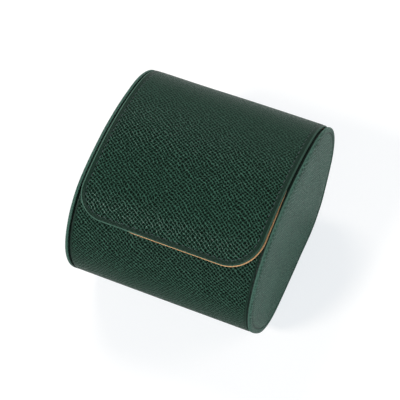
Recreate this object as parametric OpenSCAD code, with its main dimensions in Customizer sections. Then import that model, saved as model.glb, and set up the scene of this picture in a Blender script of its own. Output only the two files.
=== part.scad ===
// Watch travel case: an oval padded case covered in grained leather.
// A U-shaped wall (front, base, back) stands between two padded end caps. A curved flap is joined
// to the back wall by a strip of bare leather, closes over the top, laps the front wall and is
// held there by hidden magnets. A loose oval cushion inside carries the watch.
// Length runs along X, the front faces -Y, the base stands on z = 0. All sizes are in mm.

/* [Side outline] */

// Half of the flat part of the base, front to back
base_half = 19.1; // [14:0.1:26]
// Radius where the base turns up into the walls
heel_radius = 29.5; // [24:0.1:36]
// Radius of the low part of the walls
wall_radius = 110; // [80:1:160]
// Radius of the shoulders
shoulder_radius = 36.7; // [32:0.1:42]
// Slope of the wall at the end of the heel arc, in degrees from the base
heel_end = 57.7; // [52:0.1:60]
// Slope of the wall at the start of the shoulder arc
shoulder_start = 66.6; // [62:0.1:72]
// Slope of the wall at the end of the shoulder arc, where the crown arc takes over
shoulder_end = 164.2; // [160:0.1:168]

/* [Wall and flap] */

// Length of the wall and of the flap between the end caps
wrap_length = 90.2; // [70:0.2:120]
// Thickness of the outer leather
leather = 0.7; // [0.5:0.1:1.2]
// Thickness of the suede lining
lining = 0.4; // [0.3:0.1:0.8]
// Thickness of the board in the wall
wall_board = 1.6; // [1.2:0.1:2.4]
// Thickness of the board in the flap
flap_board_thickness = 0.8; // [0.7:0.1:1.4]
// Width of the leather turned over the edge of a board
turned_edge = 1.1; // [0.8:0.1:2]
// How far the back wall sits in from the rim of the end caps
back_step = 0.3; // [0.1:0.1:0.8]
// Free space under the closed flap
flap_gap = 0.3; // [0.2:0.1:0.6]
// How far the front wall sits in from the rim of the end caps under the flap
front_step = 0.6; // [0.3:0.1:1.5]
// Slope at which the front wall starts to step in
front_fade = 60; // [30:1:100]
// Length of front wall hidden under the flap
lap = 12.6; // [10:0.1:18]
// Slope at the front edge of the closed flap
flap_edge = 135; // [125:1:145]
// Radius of the two front corners of the flap
flap_corner = 15; // [8:0.5:20]
// Slope, counted on over the crown, at which the flap stands fully proud of the end caps
flap_risen = 185; // [150:1:200]
// How far the flap lining stands out past the edge of the flap leather
lining_proud = 0.4; // [0.1:0.05:0.5]

/* [Leather hinge] */

// Slope of the back wall at the middle of the hinge
hinge_slope = 100; // [92:1:110]
// Width of the strip of bare leather that bends
hinge_width = 5; // [4:0.5:8]

/* [Magnets] */

// Diameter of the four magnets
magnet_diameter = 7; // [4:0.5:8]
// Thickness of a magnet in the flap
flap_magnet = 0.5; // [0.3:0.1:0.6]
// Thickness of a magnet in the front wall
wall_magnet = 1; // [0.6:0.1:1.2]
// Distance between the two magnets of a pair
magnet_pitch = 52; // [30:1:60]
// Distance of the magnets from the front edge of the flap
magnet_back = 7; // [5:0.5:8]

/* [End walls and caps] */

// Thickness of the end board inside the wall
end_board_thickness = 2.5; // [1.5:0.1:4]
// Width of the groove between the wall and an end cap
groove = 1; // [0.9:0.1:1.4]
// Depth of the groove below the wall
groove_depth = 1; // [0.6:0.1:1.6]
// Thickness of the stiff plate in an end cap
plate = 0.7; // [0.5:0.1:1.6]
// Thickness of the leather that covers an end cap
cap_leather = 0.8; // [0.6:0.1:1.2]
// Radius of the rounded rim of an end cap
rim_round = 1; // [0.5:0.1:1.5]
// Distance of the pressed crease from the rim
crease_inset = 2.7; // [2.2:0.1:4]
// Depth of the pressed crease below the rim
crease_depth = 0.3; // [0.1:0.05:0.5]
// Height of the padded face above the crease
pad_rise = 0.65; // [0.4:0.05:1.6]
// Distance from the rim over which the padded face rises
pad_inset = 14; // [10:0.5:18]

/* [Cushion] */

// Length of the cushion
cushion_length = 74; // [56:1:80]
// Depth of the cushion, front to back
cushion_depth = 64; // [50:1:68]
// Height of the cushion
cushion_height = 48; // [38:1:54]
// Thickness of the suede round the cushion
cushion_suede = 0.8; // [0.5:0.1:1.5]
// Thickness of the leather ovals that close the cushion
cushion_oval = 1.2; // [0.8:0.1:2]
// How much the cushion is drawn in at its ends
cushion_draw = 3; // [1:0.2:5]
// Free space under the cushion
cushion_gap = 0.3; // [0.2:0.1:0.6]

/* [Hidden] */

leather_green = [0.15, 0.22, 0.18];
suede_tan = [0.72, 0.53, 0.38];
board_grey = [0.62, 0.57, 0.50];
foam_white = [0.90, 0.88, 0.82];
magnet_grey = [0.70, 0.71, 0.73];

// Angle between two points of a curved layer
step = 3;
// A cut runs this far past the face that it opens
past = 0.2;
// Board left over a magnet in the wall; half of it is left over one in the flap
magnet_seat = 0.1;

wrap_half = wrap_length / 2;
flap_thickness = leather + flap_board_thickness + lining;
wall_thickness = leather + wall_board;
flap_room = flap_thickness + flap_gap;
flap_rise = flap_room - front_step;
hinge_half = hinge_width / 2 / shoulder_radius * 180 / PI;
hinge_low = hinge_slope - hinge_half;
hinge_high = hinge_slope + hinge_half;
turned_angle = turned_edge / shoulder_radius * 180 / PI;
edge_u = 360 - flap_edge;
lip_u = edge_u - lap / shoulder_radius * 180 / PI;
magnet_u = edge_u - magnet_back / shoulder_radius * 180 / PI;
magnet_sag = pow(magnet_diameter / 2, 2) / 2 / shoulder_radius;
end_board_x = wrap_half - end_board_thickness;
cap_x = wrap_half + groove;

// Y and Z of the side outline at slope a: 0 is the base, 90 an upright wall and 180 the crown
function arc_y(r, lo, hi, a) = a > lo ? r * (sin(min(a, hi)) - sin(lo)) : 0;
function arc_z(r, lo, hi, a) = a > lo ? r * (cos(lo) - cos(min(a, hi))) : 0;
function low_y(a) = base_half + arc_y(heel_radius, 0, heel_end, a)
  + arc_y(wall_radius, heel_end, shoulder_start, a)
  + arc_y(shoulder_radius, shoulder_start, shoulder_end, a);
function low_z(a) = arc_z(heel_radius, 0, heel_end, a)
  + arc_z(wall_radius, heel_end, shoulder_start, a)
  + arc_z(shoulder_radius, shoulder_start, shoulder_end, a);
crown_radius = low_y(180) / sin(shoulder_end);
function half_y(a) = low_y(a) + arc_y(crown_radius, shoulder_end, 180, a);
function half_z(a) = low_z(a) + arc_z(crown_radius, shoulder_end, 180, a);

// Point at u along the outline and d inside it: u runs 0 to 180 up the back and on to 360 down the front
function fold(u) = u > 180 ? 360 - u : u;
function face(u) = u > 180 ? -1 : 1;
function at(u, d) = [
  face(u) * (half_y(fold(u)) - d * sin(fold(u))),
  half_z(fold(u)) + d * cos(fold(u))
];

function ease(t) = let(c = min(max(t, 0), 1)) c * c * (3 - 2 * c);
function wall_step(u) = u > 180 ? front_step * ease((fold(u) - front_fade) / (flap_edge - front_fade))
  : back_step * ease(u / 20);
function hinge_step(u) = back_step * (hinge_high - u) / (hinge_high - hinge_low);
function flap_lift(u) = flap_rise * ease((u - hinge_high) / (flap_risen - hinge_high));

// Points from slope lo up to hi, and down again, at whole steps in between
function walk(lo, hi) = concat([lo], [for (u = [ceil((lo + 0.3) / step) * step : step : hi - 0.3]) u], [hi]);
function turn(list) = [for (i = [len(list) - 1 : -1 : 0]) list[i]];

board_us = concat(turn(walk(0, hinge_low - turned_angle)), turn(walk(lip_u + turned_angle, 360)));
shell_us = concat([hinge_low], board_us, [lip_u]);
flap_board_us = walk(hinge_high + turned_angle, edge_u + 3 * step);
flap_us = concat([hinge_high], flap_board_us);
hinge_us = walk(hinge_low, hinge_high);
over_us = walk(hinge_low, lip_u);

module across(x0, x1) {
  translate([x0, 0, 0])
    rotate([90, 0, 90])
      linear_extrude(x1 - x0)
        children();
}

module wall_band(us, d0, d1) {
  polygon(concat(
    [for (u = us) at(u, wall_step(u) + d0)],
    [for (u = turn(us)) at(u, wall_step(u) + d1)]
  ));
}

module flap_band(us, d0, d1) {
  polygon(concat(
    [for (u = us) at(u, d0 - flap_lift(u))],
    [for (u = turn(us)) at(u, d1 - flap_lift(u))]
  ));
}

module hinge_band(d0, d1) {
  polygon(concat(
    [for (u = hinge_us) at(u, hinge_step(u) + d0)],
    [for (u = turn(hinge_us)) at(u, hinge_step(u) + d1)]
  ));
}

// Side shape of what the wall and the closed flap go round, d inside the wall
module inside(d) {
  polygon(concat(
    [for (u = over_us) at(u, flap_room - flap_lift(u))],
    [for (u = turn(shell_us)) at(u, wall_step(u) + d)]
  ));
}

// Stands a piece on the outline at u and d, with its own z pointing into the case
module on_outline(u, d, x) {
  translate([x, at(u, d)[0], at(u, d)[1]])
    rotate([u, 0, 0])
      children();
}

module magnet(u, d, x, thickness) {
  on_outline(u, d, x)
    cylinder(h = thickness, d = magnet_diameter, $fn = 64);
}

module wall_magnets(side) {
  magnet(magnet_u, front_step + leather + magnet_sag + magnet_seat, side * magnet_pitch / 2, wall_magnet);
}

module flap_magnets(side) {
  magnet(magnet_u, leather + magnet_sag + magnet_seat / 2 - flap_rise, side * magnet_pitch / 2, flap_magnet);
}

// Plan of the flap, cut along the normal of its front corners
corner_u = edge_u - flap_corner / 2 / shoulder_radius * 180 / PI;
front_reach = (at(edge_u, -flap_rise) - at(corner_u, -flap_rise)) * [cos(corner_u), sin(corner_u)];

module flap_plan(inset) {
  reach = front_reach - inset;
  half = wrap_half - inset;
  corner = flap_corner - inset;
  beyond = 2 * half_z(180);
  on_outline(corner_u, -beyond / 8, 0)
    linear_extrude(beyond) {
      translate([corner - half, -beyond])
        square([2 * (half - corner), beyond + reach]);
      translate([-half, -beyond])
        square([2 * half, beyond + reach - corner]);
      for (side = [-1, 1])
        translate([side * (half - corner), reach - corner])
          circle(r = corner, $fn = 128);
    }
}

// Front, base and back ---------------------------------------------------------

module shell_leather() {
  color(leather_green)
    difference() {
      across(-wrap_half, wrap_half)
        wall_band(shell_us, 0, wall_thickness);
      across(turned_edge - wrap_half, wrap_half - turned_edge)
        wall_band(board_us, leather, wall_thickness + past);
    }
}

module shell_board() {
  color(board_grey)
    difference() {
      across(turned_edge - wrap_half, wrap_half - turned_edge)
        wall_band(board_us, leather, wall_thickness);
      for (side = [-1, 1])
        wall_magnets(side);
    }
}

module shell_lining() {
  color(suede_tan)
    across(-end_board_x, end_board_x)
      wall_band(shell_us, wall_thickness, wall_thickness + lining);
}

module wall_magnet_left() {
  color(magnet_grey)
    wall_magnets(-1);
}

module wall_magnet_right() {
  color(magnet_grey)
    wall_magnets(1);
}

// End walls and padded end caps, drawn for the right end -------------------------

module end_board() {
  color(board_grey) {
    across(end_board_x, wrap_half)
      inside(wall_thickness);
    across(wrap_half, cap_x)
      inside(groove_depth);
  }
}

module end_lining() {
  color(suede_tan)
    across(end_board_x - lining, end_board_x)
      inside(wall_thickness + lining);
}

cap_us = concat(
  [for (i = [0:9]) heel_end * i / 10],
  [for (i = [0:1]) heel_end + (shoulder_start - heel_end) * i / 2],
  [for (i = [0:17]) shoulder_start + (shoulder_end - shoulder_start) * i / 18],
  [for (i = [0:3]) shoulder_end + (180 - shoulder_end) * i / 4]
);
cap_loop = concat(cap_us, [180], [for (u = turn(cap_us)) 360 - u]);

// Faces of a solid through m rings of n points, from the ring with the largest x to the smallest
function ring_faces(n, m) = concat(
  [[for (i = [n - 1 : -1 : 0]) i]],
  [for (k = [0 : m - 2]) for (i = [0 : n - 1])
    [k * n + i, k * n + (i + 1) % n, (k + 1) * n + (i + 1) % n]],
  [for (k = [0 : m - 2]) for (i = [0 : n - 1])
    [k * n + i, (k + 1) * n + (i + 1) % n, (k + 1) * n + i]],
  [[for (i = [0 : n - 1]) (m - 1) * n + i]]
);

// Solid through rings of the outline, each given as [distance inside, height above the wall]
module rings(list) {
  points = [for (r = list) for (u = cap_loop) [cap_x + r[1], at(u, r[0])[0], at(u, r[0])[1]]];
  polyhedron(points, ring_faces(len(cap_loop), len(list)));
}

rim_height = plate + cap_leather + crease_depth;
pad_width = pad_inset - crease_inset;

// Underside of the padded face, from the middle out to the crease
function pad_ring(t) = [pad_inset - pad_width * t, plate + pad_rise * (1 - pow(t, 2.4))];
pad_top = [for (t = [0, 0.3, 0.55, 0.75, 0.9, 1]) pad_ring(t)];
face_top = [for (r = pad_top) [r[0], r[1] + cap_leather]];
rim = concat(
  [[(crease_inset + rim_round) / 2, rim_height - crease_depth / 4]],
  [for (a = [90 : -22.5 : 0]) [rim_round * (1 - cos(a)), rim_height - rim_round * (1 - sin(a))]],
  [[0, 0.25], [0.25, 0], [cap_leather, 0], [cap_leather, plate]]
);

module end_plate() {
  color(board_grey)
    rings([[cap_leather, plate], [cap_leather, 0]]);
}

module end_pad() {
  color(foam_white)
    rings(pad_top);
}

module end_cover() {
  color(leather_green)
    rings(concat(face_top, rim, turn(pad_top)));
}

module right_end_board() {
  end_board();
}

module right_end_lining() {
  end_lining();
}

module right_end_plate() {
  end_plate();
}

module right_end_pad() {
  end_pad();
}

module right_end_cover() {
  end_cover();
}

module left_end_board() {
  mirror([1, 0, 0])
    end_board();
}

module left_end_lining() {
  mirror([1, 0, 0])
    end_lining();
}

module left_end_plate() {
  mirror([1, 0, 0])
    end_plate();
}

module left_end_pad() {
  mirror([1, 0, 0])
    end_pad();
}

module left_end_cover() {
  mirror([1, 0, 0])
    end_cover();
}

// Leather hinge -------------------------------------------------------------------

module hinge_leather() {
  color(leather_green)
    across(-wrap_half, wrap_half)
      hinge_band(0, leather);
}

module hinge_lining() {
  color(suede_tan)
    across(-end_board_x, end_board_x)
      hinge_band(leather, leather + lining);
}

// Flap ------------------------------------------------------------------------------

module flap_leather() {
  color(leather_green)
    difference() {
      intersection() {
        across(-wrap_half, wrap_half)
          flap_band(flap_us, 0, leather + flap_board_thickness);
        flap_plan(0);
      }
      intersection() {
        across(turned_edge - wrap_half, wrap_half - turned_edge)
          flap_band(flap_board_us, leather, leather + flap_board_thickness + past);
        flap_plan(turned_edge);
      }
    }
}

module flap_board() {
  color(board_grey)
    difference() {
      intersection() {
        across(turned_edge - wrap_half, wrap_half - turned_edge)
          flap_band(flap_board_us, leather, leather + flap_board_thickness);
        flap_plan(turned_edge);
      }
      for (side = [-1, 1])
        flap_magnets(side);
    }
}

module flap_lining() {
  color(suede_tan)
    intersection() {
      across(-wrap_half - lining_proud, wrap_half + lining_proud)
        flap_band(flap_us, leather + flap_board_thickness, flap_thickness);
      flap_plan(-lining_proud);
    }
}

module flap_magnet_left() {
  color(magnet_grey)
    flap_magnets(-1);
}

module flap_magnet_right() {
  color(magnet_grey)
    flap_magnets(1);
}

// Cushion, an oval pillow with suede round it and a leather oval at each end --------------

floor_z = wall_thickness + lining;
cushion_z = floor_z + cushion_gap + cushion_height / 2;
cushion_half = cushion_length / 2 - cushion_oval;
cushion_around = 40;

// Drawn in by this much at t of the way from the middle to an end
function drawn(t) = cushion_draw * pow(t, 3);

module pillow(list) {
  points = [for (r = list) for (i = [0 : cushion_around - 1]) [
    r[0],
    (cushion_depth / 2 - r[1]) * cos(360 * i / cushion_around),
    cushion_z + (cushion_height / 2 - r[1]) * sin(360 * i / cushion_around)
  ]];
  polyhedron(points, ring_faces(cushion_around, len(list)));
}

cushion_ts = [1, 0.85, 0.65, 0.35, 0, -0.35, -0.65, -0.85, -1];

module cushion_core() {
  color(foam_white)
    pillow([for (t = cushion_ts) [cushion_half * t, cushion_suede + drawn(abs(t))]]);
}

module cushion_cover() {
  color(suede_tan)
    difference() {
      pillow([for (t = cushion_ts) [cushion_half * t, drawn(abs(t))]]);
      pillow(concat(
        [[cushion_half + past, cushion_suede + drawn(1)]],
        [for (t = cushion_ts) [cushion_half * t, cushion_suede + drawn(abs(t))]],
        [[-cushion_half - past, cushion_suede + drawn(1)]]
      ));
    }
}

module cushion_oval_piece() {
  color(leather_green)
    pillow([
      [cushion_half + cushion_oval, cushion_draw + cushion_oval / 2],
      [cushion_half + cushion_oval / 2, cushion_draw],
      [cushion_half, cushion_draw]
    ]);
}

module cushion_oval_right() {
  cushion_oval_piece();
}

module cushion_oval_left() {
  mirror([1, 0, 0])
    cushion_oval_piece();
}

shell_leather();
shell_board();
shell_lining();
wall_magnet_left();
wall_magnet_right();
left_end_board();
left_end_lining();
left_end_plate();
left_end_pad();
left_end_cover();
right_end_board();
right_end_lining();
right_end_plate();
right_end_pad();
right_end_cover();
hinge_leather();
hinge_lining();
flap_leather();
flap_board();
flap_lining();
flap_magnet_left();
flap_magnet_right();
cushion_core();
cushion_cover();
cushion_oval_left();
cushion_oval_right();
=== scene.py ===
import math
import random

import bmesh
import bpy
import numpy as np
from mathutils import Matrix, Vector, noise


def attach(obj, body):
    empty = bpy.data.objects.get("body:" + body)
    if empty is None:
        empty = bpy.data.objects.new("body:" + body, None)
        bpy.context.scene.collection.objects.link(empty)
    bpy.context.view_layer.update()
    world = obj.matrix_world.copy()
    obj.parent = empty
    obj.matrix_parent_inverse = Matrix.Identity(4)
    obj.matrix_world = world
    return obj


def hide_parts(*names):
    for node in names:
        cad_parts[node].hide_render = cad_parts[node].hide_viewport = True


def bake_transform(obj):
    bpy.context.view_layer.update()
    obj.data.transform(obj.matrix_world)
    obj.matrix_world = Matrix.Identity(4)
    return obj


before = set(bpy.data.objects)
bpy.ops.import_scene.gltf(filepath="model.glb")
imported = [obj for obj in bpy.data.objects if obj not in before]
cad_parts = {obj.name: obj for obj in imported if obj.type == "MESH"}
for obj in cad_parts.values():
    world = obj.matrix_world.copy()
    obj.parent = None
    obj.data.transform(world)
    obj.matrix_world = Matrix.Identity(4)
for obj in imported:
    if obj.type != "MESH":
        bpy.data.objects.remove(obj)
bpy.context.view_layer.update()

# Watch travel case: the visible pieces, built round the solids of the frame.
# Lengths are in millimetres until mesh_object turns them into metres, but for bumps and the floor.

MM = 0.001
random.seed(7)

# ------------ side outline, as in the solids

BASE_HALF = 19.1
RADII = (29.5, 110.0, 36.7)  # heel, wall and shoulder
BREAKS = (0.0, 57.7, 66.6, 164.2)  # slopes at which those arcs begin, and the crown after them
WRAP_HALF = 45.1
FLAP_HALF = 45.05
LEATHER = 0.7
LINING = 0.4
WALL_BOARD = 1.6
FLAP_BOARD = 0.8
WALL_T = LEATHER + WALL_BOARD
FLAP_T = LEATHER + FLAP_BOARD
FLAP_GAP = 0.3
FLAP_ROOM = FLAP_T + LINING + FLAP_GAP
FRONT_STEP = 0.6
FRONT_FADE = 60.0
BACK_STEP = 0.3
BACK_FADE = 20.0
FLAP_RISE = FLAP_ROOM - FRONT_STEP
FLAP_RISEN = 185.0
HINGE_MID = 100.0
HINGE_SPAN = 3.903  # half the width of the hinge strip, in degrees
HINGE_LOW = HINGE_MID - HINGE_SPAN
HINGE_HIGH = HINGE_MID + HINGE_SPAN
EDGE_U = 225.0
LAP = 12.6
LIP_U = EDGE_U - math.degrees(LAP / RADII[2])
CAP_X = WRAP_HALF + 1.0


def sin_deg(a):
    return np.sin(np.radians(a))


def cos_deg(a):
    return np.cos(np.radians(a))


def arc_sum(a, start, fn):
    """Adds up what the arcs before slope a contribute, where fn is the integral along an arc of radius 1."""
    total = np.full_like(a, start)
    for radius, low, high in zip(RADII, BREAKS, BREAKS[1:]):
        total += radius * np.where(a > low, fn(np.minimum(a, high)) - fn(np.full_like(a, low)), 0)
    return total


CROWN = float(arc_sum(np.array([180.0]), BASE_HALF, sin_deg)[0] / sin_deg(BREAKS[3]))


def half(a):
    """y and z of the outline at slope a, an array from 0 to 180."""
    a = np.asarray(a, float)
    past = a > BREAKS[3]
    y = arc_sum(a, BASE_HALF, sin_deg) + np.where(past, CROWN * (sin_deg(a) - sin_deg(BREAKS[3])), 0)
    z = arc_sum(a, 0.0, lambda t: -cos_deg(t)) + np.where(past, CROWN * (cos_deg(BREAKS[3]) - cos_deg(a)), 0)
    return y, z


def slope_and_side(u):
    """The slope at u, and 1 on the back half of the outline or -1 on the front half."""
    return np.where(u > 180, 360 - u, u), np.where(u > 180, -1.0, 1.0)


def at(u, d):
    """Points at u round the outline, d inside it: 0 is the back heel, 180 the crown, 360 the front heel."""
    a, side = slope_and_side(np.asarray(u, float))
    y, z = half(a)
    return side * (y - d * sin_deg(a)), z + d * cos_deg(a)


OUTLINE_U = np.linspace(0, 360, 14401)
OUTLINE_Y, OUTLINE_Z = at(OUTLINE_U, 0.0)
OUTLINE_ARC = np.concatenate([[0], np.cumsum(np.hypot(np.diff(OUTLINE_Y), np.diff(OUTLINE_Z)))])


def arc(u):
    """Distance round the outline from the back heel to u."""
    return np.interp(u, OUTLINE_U, OUTLINE_ARC)


def u_at(s):
    """The u at distance s round the outline."""
    return np.interp(s, OUTLINE_ARC, OUTLINE_U)


def ease(t):
    t = np.clip(t, 0, 1)
    return t * t * (3 - 2 * t)


def wall_step(u):
    """How far the wall sits in from the outline."""
    u = np.asarray(u, float)
    front = FRONT_STEP * ease((360 - u - FRONT_FADE) / (360 - EDGE_U - FRONT_FADE))
    return np.where(u > 180, front, BACK_STEP * ease(u / BACK_FADE))


def lift(u):
    """How far the closed flap stands proud of the outline."""
    return FLAP_RISE * ease((np.asarray(u, float) - HINGE_HIGH) / (FLAP_RISEN - HINGE_HIGH))


# ------------ mesh tools


def add_object(name, data):
    obj = bpy.data.objects.new(name, data)
    bpy.context.scene.collection.objects.link(obj)
    return obj


def mesh_object(name, verts, faces, uvs=None, edge=None, angle=38):
    """verts are in mm, uvs and edge are one per vertex, and faces that meet at more than angle stay sharp."""
    mesh = bpy.data.meshes.new(name)
    mesh.from_pydata([(float(x) * MM, float(y) * MM, float(z) * MM) for x, y, z in verts], [], faces)
    if uvs is not None:
        layer = mesh.uv_layers.new(name="UVMap")
        loops = np.empty(len(mesh.loops), np.int32)
        mesh.loops.foreach_get("vertex_index", loops)
        layer.data.foreach_set("uv", np.asarray(uvs, np.float32)[loops].ravel())
    if edge is not None:
        attribute = mesh.attributes.new("edge", "FLOAT", "POINT")
        attribute.data.foreach_set("value", np.asarray(edge, np.float32))
    mesh.polygons.foreach_set("use_smooth", [True] * len(mesh.polygons))
    mesh.validate()
    mesh.set_sharp_from_angle(angle=math.radians(angle))
    mesh.update()
    return add_object(name, mesh)


def fix_normals(obj):
    """Turns all faces outward."""
    bm = bmesh.new()
    bm.from_mesh(obj.data)
    bmesh.ops.recalc_face_normals(bm, faces=bm.faces)
    bm.to_mesh(obj.data)
    bm.free()
    obj.data.update()
    return obj


def band(first, second, count):
    """Faces between two rings of count points, from the vertex numbers first and second."""
    nexts = [(i + 1) % count for i in range(count)]
    return [(first + i, first + j, second + j, second + i) for i, j in enumerate(nexts)]


def tube_faces(count, rings, base=0):
    """Faces of a closed tube of rings of count points, whose vertices are numbered from base."""
    last = base + (rings - 1) * count
    faces = []
    for start in range(base, last, count):
        faces += band(start, start + count, count)
    return faces + [tuple(range(base, base + count)), tuple(reversed(range(last, last + count)))]


def bell(x, middle, width):
    """A smooth bump of height 1 round middle."""
    return math.exp(-(((x - middle) / width) ** 2))


def soft(x, v, size, amount, seed=0.0):
    """Slow unevenness of a hand-made surface, in mm."""
    return amount * noise.noise(Vector((x / size, v / size, seed)))


def edge_round(dist, r):
    """Depth of a rounded edge of radius r at dist from the edge."""
    if dist >= r:
        return 0.0
    t = r - max(dist, 0.0)
    return r - math.sqrt(max(r * r - t * t, 0.0))


def stations_on(us):
    """Rows (y, z, ny, nz, v) of a sheet on the outline, v being minus the distance round it."""
    y, z = at(us, 0.0)
    a, side = slope_and_side(us)
    return [tuple(map(float, row)) for row in zip(y, z, side * sin_deg(a), -cos_deg(a), -arc(us))]


COLUMN = 1.6  # distance between the columns of a sheet, away from its edges
UNDERSIDE = 1.5  # how far the grain of a side face runs on from the top


def slab(name, stations, halves, offsets, top, bottom, warp=None):
    """A sheet with thickness that follows stations (y, z, ny, nz, v). halves are its reach to the left and
    right, and offsets are distances from those side edges. top and bottom give the depth and the edge value
    at (x, row, v), and warp may give another place for a point."""
    rows = len(stations)
    last = offsets[-1]
    inner = max(2, int(round((min(a + b for a, b in halves) - 2 * last) / COLUMN)))
    columns = []
    for a, b in halves:
        xs = [-a + o for o in offsets]
        xs += list(np.linspace(-a + last, b - last, inner + 1))[1:-1]
        xs += [b - o for o in reversed(offsets)]
        columns.append(xs)
    m = len(columns[0])
    verts, uvs, edge = [], [], []
    for layer, face in enumerate((top, bottom)):
        for i, (y, z, ny, nz, v) in enumerate(stations):
            for j, x in enumerate(columns[i]):
                d, e = face(x, i, v)
                place = warp(x, i, d) if warp else None
                verts.append(place or (x, y - ny * d, z - nz * d))
                out = d + UNDERSIDE
                side = out if j == m - 1 else (-out if j == 0 else 0.0)
                uvs.append((x + side * layer, v))
                edge.append(e)
    faces = []
    under = rows * m
    for i in range(rows - 1):
        for j in range(m - 1):
            a, b, c, d = i * m + j, i * m + j + 1, (i + 1) * m + j + 1, (i + 1) * m + j
            faces.append((a, b, c, d))
            faces.append((under + d, under + c, under + b, under + a))
    for j in range(m - 1):
        faces.append((j + 1, j, under + j, under + j + 1))
        a = (rows - 1) * m + j
        faces.append((a, a + 1, under + a + 1, under + a))
    for i in range(rows - 1):
        a, b = i * m, (i + 1) * m
        faces.append((a, b, under + b, under + a))
        a, b = a + m - 1, b + m - 1
        faces.append((b, a, under + a, under + b))
    return fix_normals(mesh_object(name, verts, faces, uvs, edge))


# distances from an edge at which a sheet of leather has a row or column: close where it is rounded and sewn
OFFSETS = [0, 0.05, 0.13, 0.26, 0.42, 0.62, 0.9, 1.2, 1.6, 2.0, 2.25, 2.5, 2.75, 3.0, 3.4, 4.0, 5.0, 6.5]

# ------------ materials


def empty_tree(holder):
    holder.use_nodes = True
    holder.node_tree.nodes.clear()
    return holder.node_tree


class Nodes:
    """Small helper that builds a node tree."""

    def __init__(self, name):
        self.mat = bpy.data.materials.new(name)
        self.tree = empty_tree(self.mat)
        out = self.add("ShaderNodeOutputMaterial")
        self.bsdf = self.add("ShaderNodeBsdfPrincipled")
        self.link(self.bsdf.outputs[0], out.inputs[0])

    def add(self, kind, **props):
        n = self.tree.nodes.new(kind)
        for k, v in props.items():
            setattr(n, k, v)
        return n

    def link(self, a, b):
        self.tree.links.new(a, b)

    def put(self, socket, value):
        """Sets a socket to a number or colour, or links a node's output to it."""
        if isinstance(value, (int, float)):
            socket.default_value = value
        elif isinstance(value, (tuple, list)):
            alpha = (1.0,) if len(value) == 3 and len(socket.default_value) == 4 else ()
            socket.default_value = tuple(value) + alpha
        else:
            self.link(value, socket)

    def math(self, op, a, b=None, c=None):
        n = self.add("ShaderNodeMath", operation=op)
        self.put(n.inputs[0], a)
        if b is not None:
            self.put(n.inputs[1], b)
        if c is not None:
            self.put(n.inputs[2], c)
        return n.outputs[0]

    def invert(self, a):
        return self.math("SUBTRACT", 1.0, a)

    def vec(self, op, a, b=None, scale=None):
        n = self.add("ShaderNodeVectorMath", operation=op)
        self.put(n.inputs[0], a)
        if b is not None:
            self.put(n.inputs[1], b)
        if scale is not None:
            self.put(n.inputs["Scale"], scale)
        return n.outputs[0]

    def split(self, vector):
        n = self.add("ShaderNodeSeparateXYZ")
        self.link(vector, n.inputs[0])
        return n.outputs

    def noise(self, vector, scale, detail=2.0, rough=0.5, color=False):
        n = self.add("ShaderNodeTexNoise")
        self.link(vector, n.inputs["Vector"])
        n.inputs["Scale"].default_value = scale
        n.inputs["Detail"].default_value = detail
        n.inputs["Roughness"].default_value = rough
        return n.outputs["Color" if color else "Fac"]

    def shift(self, vector, scale, detail, distance):
        """Moves a vector by a noise of that scale."""
        way = self.vec("SUBTRACT", self.noise(self.uv(), scale, detail, color=True), (0.5, 0.5, 0.5))
        return self.vec("ADD", vector, self.vec("SCALE", way, scale=distance))

    def mix(self, fac, a, b):
        n = self.add("ShaderNodeMix", data_type="RGBA")
        self.put(n.inputs[0], fac)
        self.put(n.inputs[6], a)
        self.put(n.inputs[7], b)
        return n.outputs[2]

    def range(self, value, *limits):
        """Maps from the first two limits to the last two, and clamps."""
        n = self.add("ShaderNodeMapRange")
        self.put(n.inputs[0], value)
        for i, x in enumerate(limits):
            n.inputs[1 + i].default_value = x
        return n.outputs[0]

    def near(self, value, middle, inner, outer):
        """1 within inner of middle, 0 beyond outer."""
        return self.range(self.math("ABSOLUTE", self.math("SUBTRACT", value, middle)), inner, outer, 1.0, 0.0)

    def attribute(self, name):
        return self.add("ShaderNodeAttribute", attribute_name=name, attribute_type="GEOMETRY").outputs["Fac"]

    def uv(self):
        return self.add("ShaderNodeUVMap", uv_map="UVMap").outputs[0]

    def coords(self):
        """Object coordinates in millimetres."""
        return self.vec("SCALE", self.add("ShaderNodeTexCoord").outputs["Object"], scale=1 / MM)

    def bump(self, height, distance):
        n = self.add("ShaderNodeBump")
        n.inputs["Distance"].default_value = distance
        self.link(height, n.inputs["Height"])
        self.link(n.outputs[0], self.bsdf.inputs["Normal"])

    def finish(self, color, **sockets):
        """Gives the shader its colour and its other sockets, whose names are written with underscores."""
        self.link(color, self.bsdf.inputs["Base Color"])
        for name, value in sockets.items():
            self.put(self.bsdf.inputs[name.replace("_", " ")], value)
        return self.mat


def blend_color(a, b, share, more=0.0):
    """share of b in a, a little lighter by more."""
    return tuple((1 - share) * x + share * y + more for x, y in zip(a, b))


def scale_color(color, factor, more=0.0):
    return tuple(min(1.0, c * factor + more) for c in color)


def leather_ridges(n, pitch, turn, cross):
    """The embossed lattice: 1 on its ridges and 0 in its pits. The ridges across are cross times as high."""
    wandering = n.shift(n.uv(), 0.10, 2.0, 3.0)
    wandering = n.shift(wandering, 0.60, 1.0, 1.15)
    turned = n.add("ShaderNodeVectorRotate", rotation_type="Z_AXIS")
    n.link(wandering, turned.inputs["Vector"])
    turned.inputs["Angle"].default_value = math.radians(turn)
    parts = n.split(n.vec("SCALE", turned.outputs[0], scale=2 * math.pi / pitch))
    # just under a half keeps the wave above 0, where its power is real
    waves = [n.math("MULTIPLY_ADD", n.math("COSINE", part), 0.499, 0.5) for part in parts[:2]]
    across, along = n.math("POWER", waves[0], 3.2), n.math("POWER", waves[1], 2.8)
    return n.invert(n.math("MULTIPLY", n.invert(n.math("MULTIPLY", across, cross)), n.invert(along)))


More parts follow.
